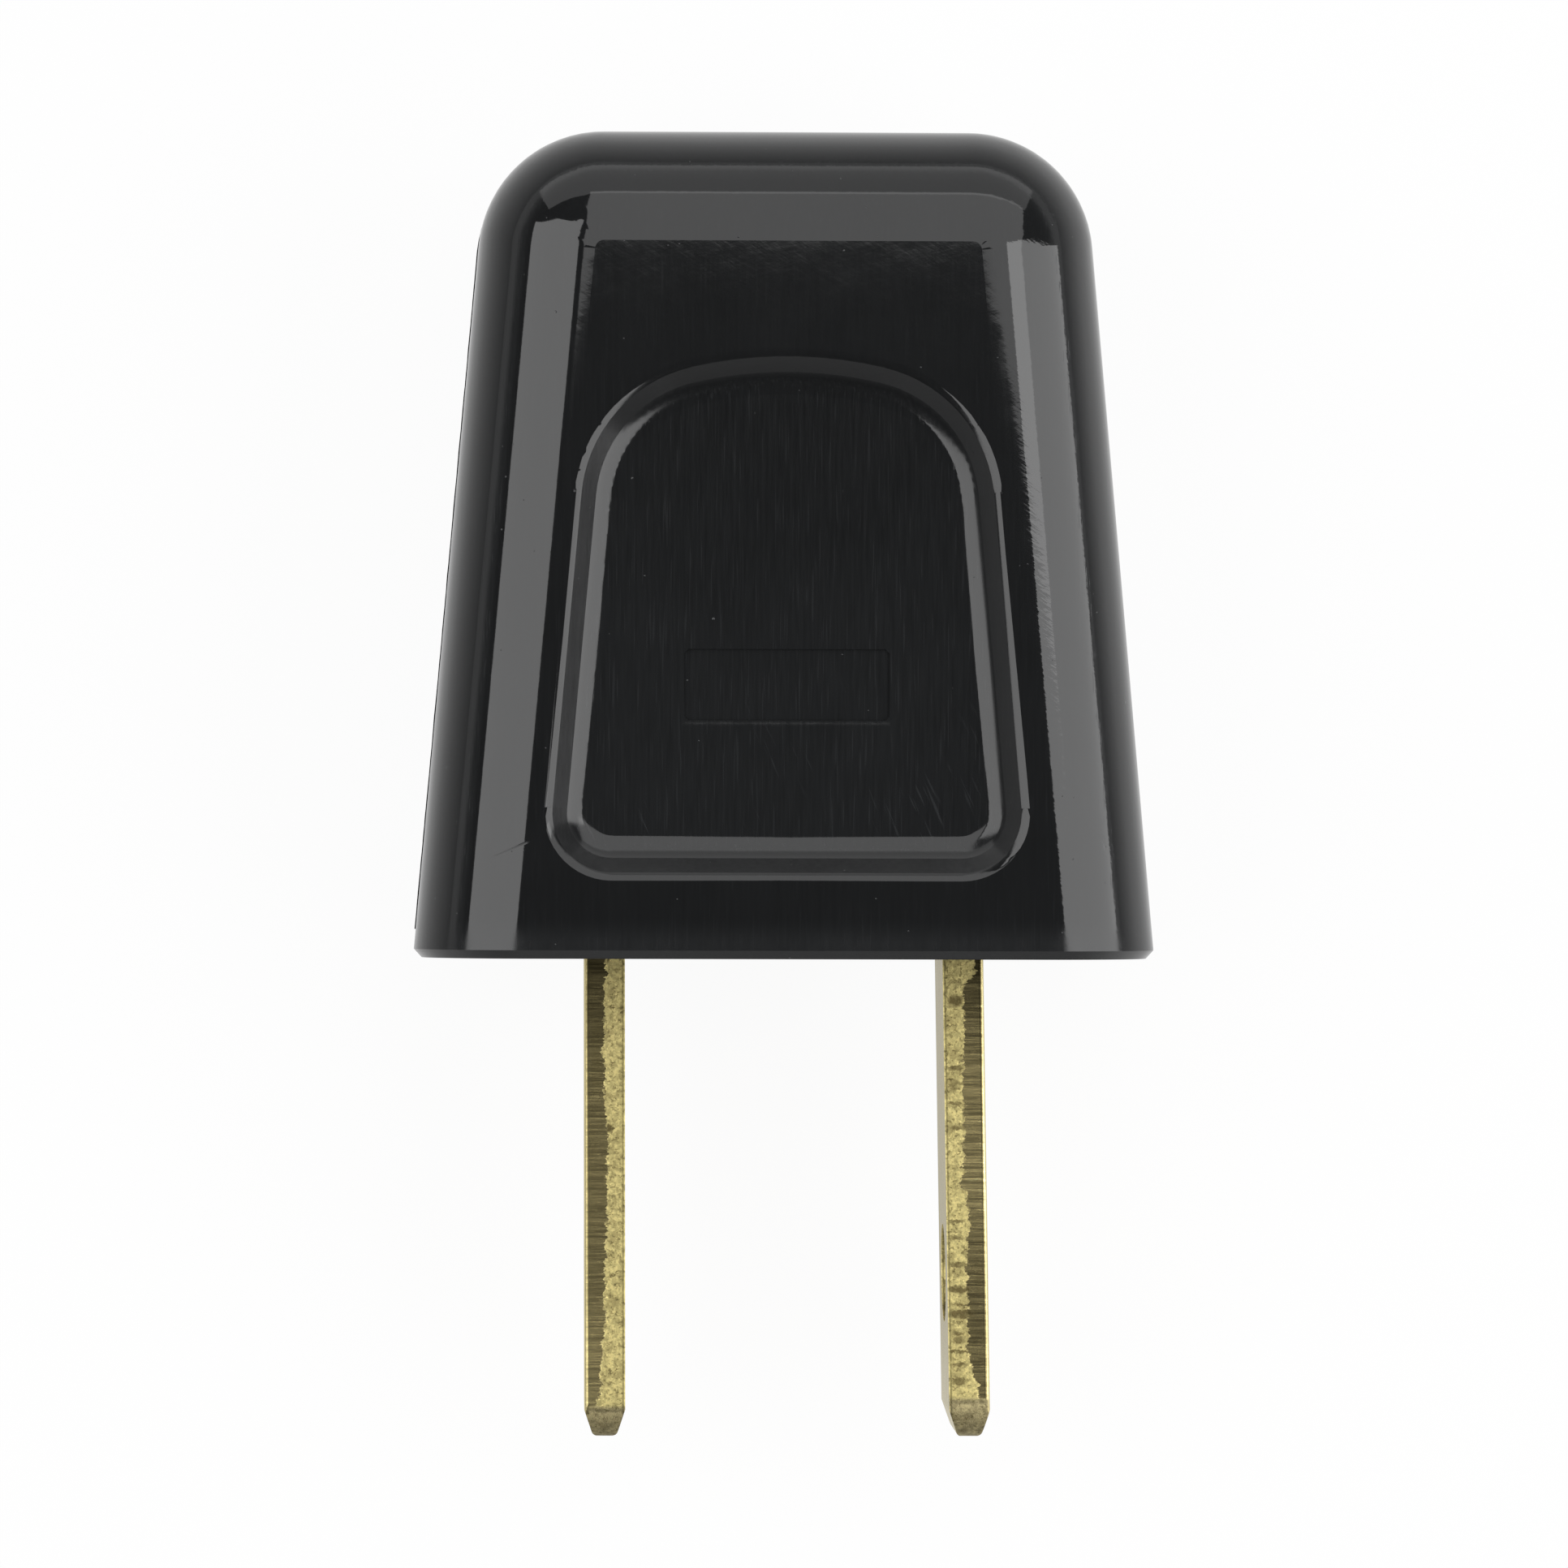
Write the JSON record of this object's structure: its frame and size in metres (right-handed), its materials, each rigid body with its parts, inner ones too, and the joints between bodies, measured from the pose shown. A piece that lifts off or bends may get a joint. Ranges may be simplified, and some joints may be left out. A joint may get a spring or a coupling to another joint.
{
  "type": "straight blade plug",
  "caption": "Flat-blade mains plug with a tapered one-piece body, finger recesses, a slide-out core with screw terminals and a slot for a flat cord.",
  "frame": {"origin": "centre of the blade face, midway between the blades and midway through the thickness", "axes": "-Y points along the blades, +Y towards the cord end, +X runs from the left blade to the right blade, and +Z points out of the front face"},
  "size_m": [0.0262, 0.0463, 0.015],
  "materials": {
    "body_plastic": "black, glossy as moulded, with fine rub marks",
    "core_plastic": "black, satin as moulded",
    "blade_brass": "stamped strip, with bright faces and torn edges",
    "screw_steel": "zinc plated"
  },
  "bodies": {
    "root": {"body": "body_plastic", "core": "core_plastic", "left_blade": "blade_brass", "right_blade": "blade_brass", "left_terminal_screw": "screw_steel", "right_terminal_screw": "screw_steel"}
  },
  "joints": []
}
